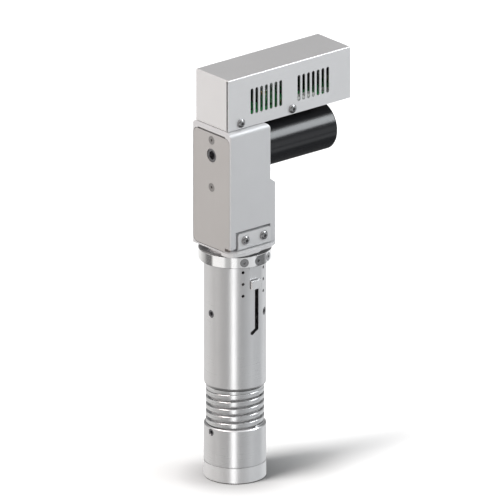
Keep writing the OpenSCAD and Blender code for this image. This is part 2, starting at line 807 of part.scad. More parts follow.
// A wire swept along a helix: section is the wire's outline as [radius, height] offsets
module coil(radius, turns, z_of, section, steps) {
    rings = floor(turns * steps);
    k = len(section);
    points = [for (i = [0:rings]) let (a = 360 * i / steps)
        for (p = section) [(radius + p[0]) * cos(a), (radius + p[0]) * sin(a), z_of(i / steps) + p[1]]];
    walls = [for (i = [0:rings - 1]) for (j = [0:k - 1])
        let (n = (j + 1) % k, b = i * k) each [[b + j, b + n, b + k + n], [b + j, b + k + n, b + k + j]]];
    start_cap = [for (j = [1:k - 2]) [0, j + 1, j]];
    end_cap = [for (j = [1:k - 2]) [rings * k, rings * k + j, rings * k + j + 1]];
    polyhedron(points, concat(walls, start_cap, end_cap));
}

module clutch_return_spring() {
    z0 = liner_z0 + 2.7;
    rise = clutch_groove[0] - 0.4 - z0;
    color("gray")
    coil(17.5, 5, function (t) z0 + rise * t / 5, [for (a = [0:60:300]) 0.6 * [cos(a), sin(a)]], 24);
}

module drive_shaft() {
    color("lightgray") {
        hex_bar(hex_af, drive_end, drive_brg_z - 1);
        translate([0, 0, drive_brg_z - 1.5]) cylinder(r = 7.5 - run, h = drive_brg_h + 1.7);
        hex_bar(hex_af, drive_brg_z + drive_brg_h, drive_hex_top);
    }
}

module drive_shaft_bearing() {
    color("silver") {
        translate([0, 0, drive_brg_z]) ball_bearing(7.5, 12, drive_brg_h);
        pipe(tube_bore_r - fit, 12 + fit, drive_brg_z, drive_brg_z + drive_brg_h + 0.4);
    }
}

module tube_end_bush() {
    color("peru")
    pipe(tube_bore_r - fit, guide_r + run, tube_z + 0.2, tube_z + 7.8);
}

// ---------- nose ----------

// Height of the wire's middle after t turns: flat end coils with an even pitch between them
function nose_wire_z(t) =
    let (
        flat = 0.6,
        low = sleeve_top + 0.1 + wire_h / 2,
        high = tube_z - 0.1 - wire_h / 2,
        end_rise = flat * wire_h,
        mid = (high - low - 2 * end_rise) / (spring_turns - 2 * flat)
    )
    t < flat ? low + t * wire_h
    : t < spring_turns - flat ? low + end_rise + (t - flat) * mid
    : high - (spring_turns - t) * wire_h;

module nose_spring() {
    h = wire_h / 2;
    w = wire_w / 2;
    c = 0.35;
    color("silver")
    rotate([0, 0, -86])
        coil(spring_r - w, spring_turns, function (t) nose_wire_z(t),
            [[-w, -h], [w - c, -h], [w, -h + c], [w, h - c], [w - c, h], [-w, h]], 60);
}

module guide_sleeve() {
    color("darkgray")
    rotate_extrude() polygon([[guide_bore_r, cap_h + 0.2], [guide_r, cap_h + 0.2], [guide_r, piston_z0],
        [tube_bore_r - run, piston_z0], [tube_bore_r - run, piston_z1], [guide_bore_r, piston_z1]]);
}

module lower_sleeve() {
    color("silver")
    difference() {
        rotate_extrude() polygon([[guide_r + fit, cap_h + 0.25], [tube_r - 0.3, cap_h + 0.25],
            [tube_r - 0.3, cap_h + 0.6], [tube_r, cap_h + 0.8], [tube_r, sleeve_top - 0.8],
            [tube_r - 0.8, sleeve_top], [guide_r + fit, sleeve_top]]);
        for (a = sleeve_set_angles) on_tube(a, tube_r, sleeve_set_z)
            cylinder(r = 2.9 + fit, h = 12, center = true, $fn = 48);
    }
}

module sleeve_set_screws() {
    color("dimgray")
    for (a = sleeve_set_angles) on_tube(a, tube_r - 0.5, sleeve_set_z) set_screw(2.9, 4.8);
}

module nose_cap() {
    color("whitesmoke")
    difference() {
        rotate_extrude() polygon([[spindle_r + 0.5, 0], [tube_r - 0.8, 0], [tube_r, 0.8],
            [tube_r, cap_h - 0.2], [tube_r - 0.3, cap_h], [spindle_r + 0.5, cap_h]]);
        translate([0, 0, 8]) cylinder(r = 15.5, h = 10);
    }
}

module nose_seal() {
    color([0.1, 0.1, 0.1])
    pipe(15.4, spindle_r + play, 8.1, cap_h);
}

module spindle_bushes() {
    color("peru") {
        pipe(guide_bore_r - fit, spindle_r + run, 14, 24);
        pipe(guide_bore_r - fit, spindle_r + run, 60, 69);
    }
}

module output_spindle() {
    color("lightgray")
    difference() {
        cylinder(r = spindle_r, h = spindle_top);
        translate([0, 0, -1]) cylinder(r = socket_r, h = socket_depth + 1);
        hex_bar(hex_bore_af, spindle_hex_z, spindle_top + 1);
    }
}

// ---------- electronics ----------

module electronics_cover() {
    w = cover_half_w;
    color("lightgray")
    difference() {
        box(cover_x0, cover_x1, -w, w, cover_z, cover_top);
        box(cover_x0 + sheet, cover_x1 - sheet, -w + sheet, w - sheet, cover_z - 1, cover_top - sheet);
        // bend radius along the top edges
        for (s = [-1, 1]) translate([-60, s * w, cover_top])
            mirror([0, s > 0 ? 1 : 0, 0]) mirror([0, 0, 1]) rotate([90, 0, 90]) edge_cut(0.8, 220);
        for (e = [[cover_x0, 0], [cover_x1, 1]]) translate([e[0], 60, cover_top])
            mirror([e[1], 0, 0]) mirror([0, 0, 1]) rotate([90, 0, 0]) edge_cut(0.8, 120);
        // open seams where the folded ends meet the vented side, with a relief hole at the top of each
        for (x = [cover_x0, cover_x1]) translate([x, 1.5 - w, 0]) {
            translate([0, 0, (cover_z + cover_top) / 2 - 2])
                cube([2 * sheet + 1, 1.6, cover_top - cover_z], center = true);
            translate([0, 0, cover_top - 2]) rotate([0, 90, 0])
                cylinder(r = 1.1, h = 2 * sheet + 1, center = true, $fn = 32);
        }
        for (x0 = vent_x) for (i = [0:vent_n - 1]) translate([x0 + i * vent_pitch, 0, 0]) {
            box(-vent_w / 2, vent_w / 2, -w - 1, -w + 2, vent_z[0] + vent_w / 2, vent_z[1] - vent_w / 2);
            for (z = [vent_z[0] + vent_w / 2, vent_z[1] - vent_w / 2]) translate([0, -w + 2, z])
                rotate([90, 0, 0]) cylinder(r = vent_w / 2, h = 3, $fn = 32);
        }
        for (x = cover_screw_x) translate([x, 0, cover_screw_z]) rotate([90, 0, 0])
            cylinder(r = m4_r + fit, h = 2 * w + 2, center = true, $fn = 48);
        translate([cover_x1 - 2, 0, inlet_z]) rotate([0, 90, 0]) cylinder(r = 6 + fit, h = 4);
    }
}

module cover_screws() {
    color("gray")
    for (x = cover_screw_x) for (s = [0, 180]) rotate([0, 0, s])
        translate([s == 0 ? x : -x, -cover_half_w, cover_screw_z]) rotate([90, 0, 0])
            button_screw(m4_r, 4.5);
}

module electronics_chassis() {
    color("darkgray")
    difference() {
        union() {
            box(chassis_x[0], chassis_x[1], -chassis_half_w, chassis_half_w,
                housing_top, housing_top + chassis_t);
            for (s = [-1, 1]) for (x = cover_screw_x)
                translate([x, s * (chassis_half_w - chassis_t / 2), housing_top + 4.2])
                    cube([12, chassis_t, 8.4], center = true);
        }
        for (x = cover_screw_x) translate([x, 0, cover_screw_z]) rotate([90, 0, 0])
            cylinder(r = m4_r + fit, h = 60, center = true, $fn = 48);
        for (p = chassis_points)
            translate([p[0], p[1], 300]) cylinder(r = m3_r + fit, h = 5);
    }
}

module chassis_screws() {
    color("gray")
    for (p = chassis_points)
        translate([p[0], p[1], housing_top + chassis_t]) button_screw(m3_r, 4.8);
}

module circuit_board() {
    color("green")
    difference() {
        box(board_x[0], board_x[1], -board_half_w, board_half_w, board_z, board_z + board_t);
        for (p = standoff_points) translate([p[0], p[1], board_z - 1]) cylinder(r = 1.6, h = 4, $fn = 48);
    }
}

module board_standoffs() {
    color("gold")
    for (p = standoff_points) translate([p[0], p[1], 0]) {
        translate([0, 0, housing_top + chassis_t])
            cylinder(r = 2.6, h = board_z - housing_top - chassis_t, $fn = 6);
        translate([0, 0, board_z - 0.5]) cylinder(r = 1.5, h = board_t + 0.5, $fn = 48);
        translate([0, 0, board_z + board_t]) cylinder(r = 2.7, h = 1.6, $fn = 48);
    }
}

module board_components() {
    top = board_z + board_t;
    color("dimgray") {
        for (x = [2, 14, 26]) translate([x, 5, top]) cylinder(r = 4, h = 13, $fn = 48);
        for (x = [-6, 52, 66]) box(x, x + 8, 0, 8, top, top + 1.6);
        box(76, 90, 2, 14, top, top + 9);
        for (x = [0:4:28]) box(x, x + 2, -10, -8.6, top, top + 0.7);
    }
}

module board_connectors() {
    top = board_z + board_t;
    color("white")
    difference() {
        union() {
            box(47.5, 68.5, -17, -11, top, top + 2.6);
            box(79, 85, -17, -11, top, top + 2.6);
        }
        for (x = [49:2.5:64]) box(x, x + 1.3, -15.4, -12.4, top + 1.2, top + 6);
        for (x = [80, 82.5]) box(x, x + 1.3, -15.4, -12.4, top + 1.2, top + 6);
    }
}

module power_inlet() {
    color("gray")
    translate([cover_x1, 0, inlet_z]) rotate([0, 90, 0])
        difference() {
            union() {
                translate([0, 0, -7]) cylinder(r = 6, h = 11);
                cylinder(r = 7.5, h = 2);
                translate([0, 0, -sheet - 2.4]) cylinder(r = 8.4, h = 2.4, $fn = 6);
            }
            for (a = [0:90:270]) rotate([0, 0, a]) translate([2.6, 0, 2.6])
                cylinder(r = 0.6, h = 2, $fn = 24);
        }
}

gear_housing();
front_cover_plate();
front_plate_screws();
manual_drive_hub();
motor_shaft();
bevel_pinion();
motor_magnet_core();
motor_stator();
motor_can();
motor_flange();
motor_bearings();
motor_screws();
front_bearing_plate();
front_bearing();
bevel_wheel();
input_shaft();
input_bearings();
ring_gear();
stage1_carrier();
stage1_planet_1();
stage1_planet_2();
stage1_planet_3();
output_carrier();
stage2_planet_1();
stage2_planet_2();
stage2_planet_3();
gearbox_flange();
output_bearings();
retaining_bracket();
bracket_screws();
clamp_ring();
clamp_ring_screws();
outer_tube();
tube_liner();
tube_set_screws();
release_slider();
shift_ring();
clutch_sleeve();
clutch_return_spring();
drive_shaft();
drive_shaft_bearing();
tube_end_bush();
nose_spring();
guide_sleeve();
lower_sleeve();
sleeve_set_screws();
nose_cap();
spindle_bushes();
output_spindle();
nose_seal();
electronics_cover();
cover_screws();
electronics_chassis();
chassis_screws();
circuit_board();
board_standoffs();
board_components();
board_connectors();
power_inlet();
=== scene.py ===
"""Looks of the right-angle gear drive unit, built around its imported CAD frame. Metres throughout."""

import json
import math

import bmesh
import bpy
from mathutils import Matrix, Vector


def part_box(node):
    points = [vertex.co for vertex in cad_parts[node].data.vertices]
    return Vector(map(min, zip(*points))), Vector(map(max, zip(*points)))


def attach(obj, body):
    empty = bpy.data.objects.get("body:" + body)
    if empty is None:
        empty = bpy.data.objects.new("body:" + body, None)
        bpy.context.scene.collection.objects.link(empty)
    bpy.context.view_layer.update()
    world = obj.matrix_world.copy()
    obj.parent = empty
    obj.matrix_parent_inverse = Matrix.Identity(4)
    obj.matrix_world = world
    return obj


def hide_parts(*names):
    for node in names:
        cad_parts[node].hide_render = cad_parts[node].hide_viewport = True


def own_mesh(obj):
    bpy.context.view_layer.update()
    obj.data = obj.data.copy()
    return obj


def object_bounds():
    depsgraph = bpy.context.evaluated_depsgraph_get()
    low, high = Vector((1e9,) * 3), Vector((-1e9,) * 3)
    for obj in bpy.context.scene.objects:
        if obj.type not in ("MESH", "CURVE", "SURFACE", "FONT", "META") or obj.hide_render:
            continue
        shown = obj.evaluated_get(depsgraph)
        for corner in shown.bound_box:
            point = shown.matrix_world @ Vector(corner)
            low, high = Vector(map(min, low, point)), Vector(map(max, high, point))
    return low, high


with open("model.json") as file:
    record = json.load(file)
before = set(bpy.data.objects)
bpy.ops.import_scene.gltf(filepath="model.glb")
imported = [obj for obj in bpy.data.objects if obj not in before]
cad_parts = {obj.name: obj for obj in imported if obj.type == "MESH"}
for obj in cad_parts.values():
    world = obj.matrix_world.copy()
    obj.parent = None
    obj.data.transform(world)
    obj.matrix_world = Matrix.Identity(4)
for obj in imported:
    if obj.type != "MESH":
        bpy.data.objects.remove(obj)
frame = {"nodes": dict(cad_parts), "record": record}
cad_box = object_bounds()
nodes = frame["nodes"]
MM = 0.001


# ---------- camera ----------

AZIMUTH = math.radians(-40)
ELEVATION = math.radians(20)
VIEW_WIDTH = 0.4                 # width of the view, in metres
VIEW_RIGHT = 12.0 * MM           # where the view's centre lies from the origin, along its right
VIEW_UP = 179.1 * MM             # and along its up
CAMERA_AWAY = 2.0                # distance of the camera, in metres


def make_camera():
    """An orthographic camera at the photograph's angle."""
    back = Vector((
        math.sin(AZIMUTH) * math.cos(ELEVATION),
        -math.cos(AZIMUTH) * math.cos(ELEVATION),
        math.sin(ELEVATION),
    ))
    right = Vector((math.cos(AZIMUTH), math.sin(AZIMUTH), 0))
    up = back.cross(right)
    data = bpy.data.cameras.new("camera")
    data.type = "ORTHO"
    data.ortho_scale = VIEW_WIDTH
    camera = bpy.data.objects.new("camera", data)
    bpy.context.scene.collection.objects.link(camera)
    camera.location = right * VIEW_RIGHT + up * VIEW_UP + back * CAMERA_AWAY
    camera.rotation_euler = back.to_track_quat("Z", "Y").to_euler()
    bpy.context.scene.camera = camera


make_camera()


# ---------- materials ----------

def fill_ramp(node, stops):
    """Gives a colour ramp its stops, each a position and a colour."""
    elements = node.color_ramp.elements
    while len(elements) < len(stops):
        elements.new(0.5)
    for element, (position, color) in zip(elements, stops):
        element.position = position
        element.color = (*color, 1)


class Nodes:
    """A material's node tree, with short names for the few things that are done to it."""

    def __init__(self, name):
        self.material = bpy.data.materials.new(name)
        self.material.use_nodes = True
        self.tree = self.material.node_tree
        self.shader = self.tree.nodes["Principled BSDF"]
        self.coords = self.tree.nodes.new("ShaderNodeTexCoord").outputs["Object"]

    def link(self, source, target):
        self.tree.links.new(source, target)

    def scaled(self, scale):
        """The object's coordinates, stretched by a scale for each axis."""
        node = self.tree.nodes.new("ShaderNodeMapping")
        node.inputs["Scale"].default_value = scale
        self.link(self.coords, node.inputs["Vector"])
        return node.outputs["Vector"]

    def noise(self, scale, detail):
        node = self.tree.nodes.new("ShaderNodeTexNoise")
        node.inputs["Scale"].default_value = 1.0
        node.inputs["Detail"].default_value = detail
        self.link(self.scaled(scale), node.inputs["Vector"])
        return node.outputs["Fac"]

    def ramp(self, fac, stops):
        node = self.tree.nodes.new("ShaderNodeValToRGB")
        fill_ramp(node, stops)
        self.link(fac, node.inputs["Fac"])
        return node.outputs["Color"]

    def span(self, fac, low, high, start=0.3, end=0.7):
        """fac from start to end, mapped onto low to high."""
        node = self.tree.nodes.new("ShaderNodeMapRange")
        node.inputs["From Min"].default_value = start
        node.inputs["From Max"].default_value = end
        node.inputs["To Min"].default_value = low
        node.inputs["To Max"].default_value = high
        self.link(fac, node.inputs["Value"])
        return node.outputs["Result"]

    def mix(self, fac, first, second):
        node = self.tree.nodes.new("ShaderNodeMix")
        node.data_type = "RGBA"
        self.link(fac, node.inputs["Factor"])
        for socket, value in ((node.inputs[6], first), (node.inputs[7], second)):
            if isinstance(value, tuple):
                socket.default_value = (*value, 1)
            else:
                self.link(value, socket)
        return node.outputs[2]

    def bump(self, height, strength, distance):
        node = self.tree.nodes.new("ShaderNodeBump")
        node.inputs["Strength"].default_value = strength
        node.inputs["Distance"].default_value = distance
        self.link(height, node.inputs["Height"])
        self.link(node.outputs["Normal"], self.shader.inputs["Normal"])


def shade(color, factor):
    return tuple(min(1.0, c * factor) for c in color)


# How a surface was finished: the scale of its grain along each axis, per metre
GRAINS = {
    "turned": (60, 60, 5200),         # rings round a vertical axis
    "turned_x": (5200, 60, 60),       # rings round the motor axis
    "brushed_x": (45, 3600, 3600),    # lines along the motor axis
    "brushed_z": (3600, 3600, 45),    # upright lines
    "blasted": (2600, 2600, 2600),    # fine even grain
}


SMUDGE = 0.04                    # how much darker a metal's faint smudges are


def metal(name, color, roughness, grain, metallic, depth, contrast=0.05, spread=0.06):
    """Machined or finished metal: fine grain in colour, gloss and relief, under faint broad smudges."""
    m = Nodes(name)
    fine = m.noise(GRAINS[grain], detail=2.0)
    broad = m.noise((28, 28, 28), detail=4.0)
    light = shade(color, 1 + contrast)
    dark = shade(color, 1 - contrast)
    grained = m.ramp(fine, ((0.3, dark), (0.7, light)))
    worn = m.mix(m.span(broad, 0.0, 1.0), grained, shade(color, 1 - SMUDGE))
    m.link(worn, m.shader.inputs["Base Color"])
    gloss = m.tree.nodes.new("ShaderNodeMath")
    gloss.operation = "ADD"
    m.link(m.span(fine, roughness - spread / 2, roughness + spread / 2), gloss.inputs[0])
    m.link(m.span(broad, -spread / 3, spread / 3), gloss.inputs[1])
    m.link(gloss.outputs[0], m.shader.inputs["Roughness"])
    m.shader.inputs["Metallic"].default_value = metallic
    m.bump(fine, 0.5, depth)
    return m


SPECKLE = 0.08                   # how much a plastic's colour varies
SKIN_DEPTH = 0.02 * MM           # depth of its fine skin texture


def plastic(name, color, roughness):
    """Moulded plastic, rubber or paint: a fine skin texture and a little variation in colour."""
    m = Nodes(name)
    fine = m.noise((1900, 1900, 1900), detail=3.0)
    broad = m.noise((60, 60, 60), detail=2.0)
    m.link(m.ramp(broad, ((0.35, shade(color, 1 - SPECKLE)), (0.65, shade(color, 1 + SPECKLE)))),
           m.shader.inputs["Base Color"])
    m.link(m.span(fine, roughness - 0.06, roughness + 0.06), m.shader.inputs["Roughness"])
    m.bump(fine, 0.4, SKIN_DEPTH)
    return m


def solder_mask(name):
    """Green circuit board: darker mask with paler traces and small pads."""
    m = Nodes(name)
    brick = m.tree.nodes.new("ShaderNodeTexBrick")
    brick.inputs["Color1"].default_value = (0.05, 0.44, 0.12, 1)
    brick.inputs["Color2"].default_value = (0.06, 0.52, 0.15, 1)
    brick.inputs["Mortar"].default_value = (0.02, 0.28, 0.07, 1)
    brick.inputs["Scale"].default_value = 1.0
    brick.inputs["Mortar Size"].default_value = 0.02
    m.link(m.scaled((240, 240, 1)), brick.inputs["Vector"])
    pads = m.tree.nodes.new("ShaderNodeTexVoronoi")
    pads.inputs["Scale"].default_value = 1.0
    m.link(m.scaled((330, 330, 1)), pads.inputs["Vector"])
    tinned = m.ramp(pads.outputs["Distance"], ((0.13, (1, 1, 1)), (0.17, (0, 0, 0))))
    m.link(m.mix(tinned, brick.outputs["Color"], (0.62, 0.60, 0.50)), m.shader.inputs["Base Color"])
    m.link(m.span(brick.outputs["Fac"], 0.28, 0.42, 0, 1), m.shader.inputs["Roughness"])
    m.bump(brick.outputs["Fac"], 0.3, 0.00003)
    return m


def winding(name):
    """Enamelled copper wire, wound round the motor's teeth."""
    m = Nodes(name)
    wave = m.tree.nodes.new("ShaderNodeTexWave")
    wave.bands_direction = "X"
    wave.inputs["Scale"].default_value = 1.0
    wave.inputs["Distortion"].default_value = 0.6
    m.link(m.scaled((620, 620, 620)), wave.inputs["Vector"])
    m.link(m.ramp(wave.outputs["Fac"], ((0.1, (0.30, 0.12, 0.05)), (0.9, (0.72, 0.36, 0.18)))),
           m.shader.inputs["Base Color"])
    m.link(m.span(wave.outputs["Fac"], 0.28, 0.45, 0, 1), m.shader.inputs["Roughness"])
    m.shader.inputs["Metallic"].default_value = 0.85
    m.bump(wave.outputs["Fac"], 0.8, 0.0001)
    return m


MATERIALS = {
    "housing_metal": metal(
        "housing_metal", (0.49, 0.495, 0.505), 0.50, "blasted", 0.4, 0.000015, contrast=0.03,
    ),
    "plate_metal": metal(
        "plate_metal", (0.53, 0.515, 0.505), 0.38, "brushed_z", 0.85, 0.000010, contrast=0.03,
    ),
    "cover_metal": metal(
        "cover_metal", (0.72, 0.72, 0.725), 0.40, "brushed_x", 0.8, 0.000012, contrast=0.03,
    ),
    "tube_metal": metal("tube_metal", (0.74, 0.74, 0.745), 0.31, "turned", 1.0, 0.000012, contrast=0.025),
    "cap_metal": metal("cap_metal", (0.80, 0.80, 0.805), 0.32, "turned", 0.9, 0.000012, contrast=0.025),
    "polished_ring": metal("polished_ring", (0.90, 0.90, 0.90), 0.08, "turned", 1.0, 0.000003, spread=0.03),
    "spring_steel": metal("spring_steel", (0.66, 0.665, 0.67), 0.27, "turned", 1.0, 0.00001),
    "screw_steel": metal("screw_steel", (0.36, 0.36, 0.365), 0.20, "blasted", 1.0, 0.000006),
    "plate_screw_steel": metal("plate_screw_steel", (0.30, 0.29, 0.285), 0.34, "blasted", 0.9, 0.00001),
    "bracket_steel": metal(
        "bracket_steel", (0.56, 0.565, 0.57), 0.44, "brushed_x", 0.5, 0.000008, contrast=0.03,
    ),
    "guide_steel": metal("guide_steel", (0.86, 0.86, 0.87), 0.5, "turned", 0.0, 0.000008),
    "dark_steel": metal("dark_steel", (0.20, 0.20, 0.21), 0.34, "blasted", 1.0, 0.00002),
    "shaft_steel": metal("shaft_steel", (0.66, 0.66, 0.68), 0.20, "turned", 1.0, 0.00001),
    "gear_steel": metal("gear_steel", (0.50, 0.49, 0.47), 0.30, "turned", 1.0, 0.00002),
    "bearing_steel": metal("bearing_steel", (0.74, 0.74, 0.75), 0.14, "turned", 1.0, 0.00001),
    "liner_steel": metal("liner_steel", (0.62, 0.62, 0.625), 0.30, "turned", 1.0, 0.00002),
    "bronze": metal("bronze", (0.52, 0.46, 0.38), 0.36, "turned", 1.0, 0.00002),
    "brass_parts": metal("brass_parts", (0.78, 0.60, 0.28), 0.28, "turned", 1.0, 0.00001),
    "connector_metal": metal("connector_metal", (0.48, 0.48, 0.50), 0.30, "turned_x", 1.0, 0.00001),
    "motor_black": metal(
        "motor_black", (0.007, 0.0075, 0.009), 0.22, "turned_x", 0.0, 0.000004, contrast=0.15,
    ),
    "magnet": plastic("magnet", (0.09, 0.09, 0.10), 0.45),
    "winding": winding("winding"),
    "seal_rubber": plastic("seal_rubber", (0.02, 0.02, 0.02), 0.62),
    "board_green": solder_mask("board_green"),
    "black_plastic": plastic("black_plastic", (0.022, 0.022, 0.024), 0.42),
    "white_plastic": plastic("white_plastic", (0.86, 0.86, 0.83), 0.38),
}


SATIN_SHADE_START = 0.15 * MM          # how far under a piece's top its satin face, painted darker as shade, begins
SATIN_SHADE_FULL = 0.05 * MM           # and where it is complete


def satin_shaded_top(name, height, roughness, color):
    """Leaves the top face of a polished piece as it was turned: above a height, duller and rougher, and its
    colour painted darker as the shade that falls under the part above it.
    """
    m = MATERIALS[name]
    axes = m.tree.nodes.new("ShaderNodeSeparateXYZ")
    m.link(m.coords, axes.inputs["Vector"])
    above = m.span(axes.outputs["Z"], 0.0, 1.0, height - SATIN_SHADE_START, height - SATIN_SHADE_FULL)
    polished = m.shader.inputs["Base Color"].links[0].from_socket
    # Painted shade: above the height, the colour is darkened towards the given grey.
    m.link(m.mix(above, polished, color), m.shader.inputs["Base Color"])
    gloss = m.tree.nodes.new("ShaderNodeMix")
    m.link(above, gloss.inputs["Factor"])
    m.link(m.shader.inputs["Roughness"].links[0].from_socket, gloss.inputs[2])
    gloss.inputs[3].default_value = roughness
    m.link(gloss.outputs[0], m.shader.inputs["Roughness"])


# The clamp ring's top face: rougher as turned, and painted darker as the shade under the housing.
satin_shaded_top("polished_ring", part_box("clamp_ring")[1].z, 0.38, (0.50, 0.50, 0.50))
MATERIALS["motor_black"].shader.inputs["IOR"].default_value = 1.45


def dress_frame():
    """Gives each CAD node the material of its slot in the record."""
    for part in frame["record"]["subparts"]:
        mesh = nodes[part["node"]].data
        mesh.materials.clear()
        mesh.materials.append(MATERIALS[part["material_slot"]].material)


dress_frame()


# ---------- pieces ----------

def add_piece(name, build, slot, body="frame"):
    """A piece made by build(bm), in its slot's material, riding on a body."""
    bm = bmesh.new()
    build(bm)
    bmesh.ops.recalc_face_normals(bm, faces=bm.faces)
    mesh = bpy.data.meshes.new(name)
    bm.to_mesh(mesh)
    bm.free()
    mesh.materials.append(MATERIALS[slot].material)
    piece = bpy.data.objects.new(name, mesh)
    bpy.context.scene.collection.objects.link(piece)
    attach(piece, body)
    return piece


def round_section(width, height, upper, lower, steps=4):
    """Outline of a bar as (across, up) offsets, its upper corners rounded more than its lower ones."""
    points = []
    for quarter, (sx, sy) in enumerate(((1, 1), (-1, 1), (-1, -1), (1, -1))):
        corner = upper if sy > 0 else lower
        for k in range(steps + 1):
            a = math.radians(90 * quarter + 90 * k / steps)
            points.append((
                sx * (width / 2 - corner) + corner * math.cos(a),
                sy * (height / 2 - corner) + corner * math.sin(a),
            ))
    return points


def sweep_coil(bm, radius, turns, height_at, section, start, floor, ceiling, steps=96):
    """Sweeps a wire's outline round the tube axis, ground flat at a floor and a ceiling."""
    rings = []
    count = int(turns * steps)
    for i in range(count + 1):
        turn = i / steps
        a = start + 2 * math.pi * turn
        ring = [
            bm.verts.new((
                (radius + across) * math.cos(a),
                (radius + across) * math.sin(a),
                min(max(height_at(turn) + rise, floor), ceiling),
            ))
            for across, rise in section
        ]
        rings.append(ring)
    for low, high in zip(rings, rings[1:]):
        for j in range(len(section)):
            k = (j + 1) % len(section)
            bm.faces.new((low[j], low[k], high[k], high[j]))
    bm.faces.new(rings[0])
    bm.faces.new(reversed(rings[-1]))


SPRING_TURNS = 6.38
SPRING_START = math.radians(-86)
CLOSED_LOW = 0.5                 # turns that lie closed at the spring's bottom
CLOSED_HIGH = 1.5                # and at its top
WIRE_W = 3.1 * MM
WIRE_H = 3.8 * MM
WIRE_TIP = 0.25                  # share of the wire's height that is left at its ground ends
WIRE_ROUND_UP = 0.6 * MM         # rounding of the wire's upper corners
WIRE_ROUND_DOWN = 0.25 * MM      # and of its lower ones
CLUTCH_TURNS = 5
CLUTCH_WIRE_R = 0.6 * MM


def make_nose_spring():
    """The flat-wire spring over the nose, with closed and ground ends."""
    low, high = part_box("nose_spring")
    first = low.z + (WIRE_TIP - 0.5) * WIRE_H
    last = high.z - (WIRE_TIP - 0.5) * WIRE_H
    open_low = first + CLOSED_LOW * WIRE_H
    open_high = last - CLOSED_HIGH * WIRE_H
    pitch = (open_high - open_low) / (SPRING_TURNS - CLOSED_LOW - CLOSED_HIGH)

    def height_at(turn):
        if turn < CLOSED_LOW:
            return first + turn * WIRE_H
        if turn < SPRING_TURNS - CLOSED_HIGH:
            return open_low + (turn - CLOSED_LOW) * pitch
        return last - (SPRING_TURNS - turn) * WIRE_H

    section = round_section(WIRE_W, WIRE_H, WIRE_ROUND_UP, WIRE_ROUND_DOWN)
    radius = high.x - WIRE_W / 2
    piece = add_piece(
        "nose_spring_coil",
        lambda bm: sweep_coil(
            bm, radius, SPRING_TURNS, height_at, section, SPRING_START, low.z, high.z,
        ),
        "spring_steel",
    )
    smooth(piece, 20)
    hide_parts("nose_spring")
    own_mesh(piece)


def smooth(piece, angle):
    """Smooth shading, except across edges sharper than the angle."""
    for polygon in piece.data.polygons:
        polygon.use_smooth = True
    piece.data.set_sharp_from_angle(angle=math.radians(angle))


def make_clutch_spring():
    """The light spring that returns the release slider."""
    low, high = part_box("clutch_return_spring")
    wire = CLUTCH_WIRE_R
    angles = [math.radians(degrees) for degrees in range(0, 360, 30)]
    section = [(wire * math.cos(a), wire * math.sin(a)) for a in angles]

    def height_at(turn):
        return low.z + wire + (high.z - low.z - 2 * wire) * turn / CLUTCH_TURNS

    piece = add_piece(
        "clutch_spring_coil",
        lambda bm: sweep_coil(
            bm, high.x - wire, CLUTCH_TURNS, height_at, section, 0.0, low.z, high.z,
        ),
        "spring_steel",
    )
    smooth(piece, 60)
    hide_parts("clutch_return_spring")
    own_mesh(piece)


make_nose_spring()
make_clutch_spring()


# ---------- stage, light and world ----------

FLOOR_SIZE = 8.0
FLOOR_GAP = 0.1 * MM             # how far the floor lies under the object
FLOOR_GLOW = 0.52                # keeps the floor white further out; it is left off near the foot, where the floor keeps its painted shade
GLOW_START = 50 * MM             # the glow's distance from the floor's middle, where it starts
GLOW_FULL = 170 * MM             # and where it is full
FLOOR_EDGE = 250 * MM            # distance at which the last of the floor's painted shade tones is reached
# Painted shade on the floor: its grey by distance from its middle, darkest close to the foot as a contact
# shadow
FLOOR_SHADE_TONES = ((26 * MM, 0.20), (50 * MM, 0.31), (100 * MM, 0.33), (180 * MM, 0.30))


def make_floor():
    """A pale floor at the object's foot, with a painted contact shadow: greyer close to it, and glowing
    further out.
    """
    material = bpy.data.materials.new("floor")
    material.use_nodes = True
    tree = material.node_tree
    shader = tree.nodes["Principled BSDF"]
    shader.inputs["Roughness"].default_value = 0.9
    shader.inputs["Specular IOR Level"].default_value = 0.0
    shader.inputs["Emission Color"].default_value = (1, 1, 1, 1)
    distance = tree.nodes.new("ShaderNodeVectorMath")
    distance.operation = "LENGTH"
    tree.links.new(tree.nodes.new("ShaderNodeTexCoord").outputs["Object"], distance.inputs[0])
    # The glow starts only away from the foot, so the painted shade near it stays dark.
    glow = tree.nodes.new("ShaderNodeMapRange")
    glow.inputs["From Min"].default_value = GLOW_START
    glow.inputs["From Max"].default_value = GLOW_FULL
    glow.inputs["To Max"].default_value = FLOOR_GLOW
    tree.links.new(distance.outputs["Value"], glow.inputs["Value"])
    tree.links.new(glow.outputs["Result"], shader.inputs["Emission Strength"])
    share = tree.nodes.new("ShaderNodeMapRange")
    share.inputs["From Max"].default_value = FLOOR_EDGE
    tree.links.new(distance.outputs["Value"], share.inputs["Value"])
    # Painted contact shadow: the floor's grey darkens towards the foot.
    painted_shade = tree.nodes.new("ShaderNodeValToRGB")
    fill_ramp(painted_shade, [(radius / FLOOR_EDGE, (grey, grey, grey)) for radius, grey in FLOOR_SHADE_TONES])
    tree.links.new(share.outputs["Result"], painted_shade.inputs["Fac"])
    tree.links.new(painted_shade.outputs["Color"], shader.inputs["Base Color"])
    bpy.ops.mesh.primitive_plane_add(size=FLOOR_SIZE, location=(0, 0, cad_box[0].z - FLOOR_GAP))
    floor = bpy.context.object
    floor.name = "floor"
    floor.visible_glossy = False
    floor.data.materials.append(material)
    return floor


